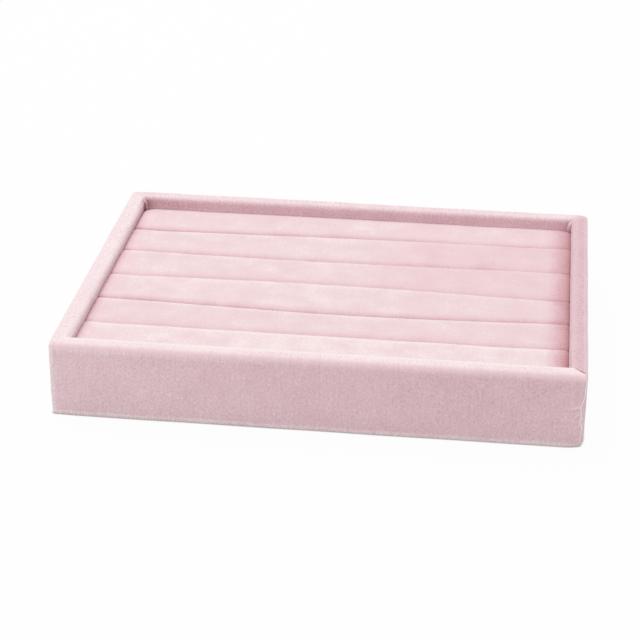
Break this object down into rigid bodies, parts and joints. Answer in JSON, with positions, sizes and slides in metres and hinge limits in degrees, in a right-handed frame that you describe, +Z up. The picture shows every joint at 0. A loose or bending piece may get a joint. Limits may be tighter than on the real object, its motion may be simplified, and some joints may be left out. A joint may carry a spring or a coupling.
{
  "type": "jewelry tray",
  "caption": "Shallow rectangular velvet ring tray: a cloth-wrapped board frame with a lift-out insert of padded ring rolls, whose slits hold rings upright.",
  "frame": {"origin": "centre of the footprint, on the surface that the tray stands on", "axes": "+X along the rolls to the right, +Y from the front wall to the back wall, +Z up"},
  "size_m": [0.2, 0.154, 0.03],
  "materials": {
    "board": "matte",
    "brad_steel": "satin",
    "wall_velvet": "matte",
    "lining_velvet": "matte",
    "roll_velvet": "matte",
    "felt": "matte",
    "card": "matte",
    "foam": "matte"
  },
  "bodies": {
    "tray": {"base_board": "board", "front_wall_board": "board", "back_wall_board": "board", "left_wall_board": "board", "right_wall_board": "board", "corner_brads": "brad_steel", "base_brads": "brad_steel", "wall_velvet_wrap": "wall_velvet", "underside_felt": "felt", "floor_lining": "lining_velvet"},
    "ring_insert": {"insert_card": "card", "roll_foam_1": "foam", "roll_foam_2": "foam", "roll_foam_3": "foam", "roll_foam_4": "foam", "roll_foam_5": "foam", "roll_foam_6": "foam", "roll_velvet_1": "roll_velvet", "roll_velvet_2": "roll_velvet", "roll_velvet_3": "roll_velvet", "roll_velvet_4": "roll_velvet", "roll_velvet_5": "roll_velvet", "roll_velvet_6": "roll_velvet"}
  },
  "joints": [
    {"name": "insert_lift", "type": "slide", "parent": "tray", "child": "ring_insert", "axis": [0, 0, 1], "range_m": [0, 0.04]}
  ]
}
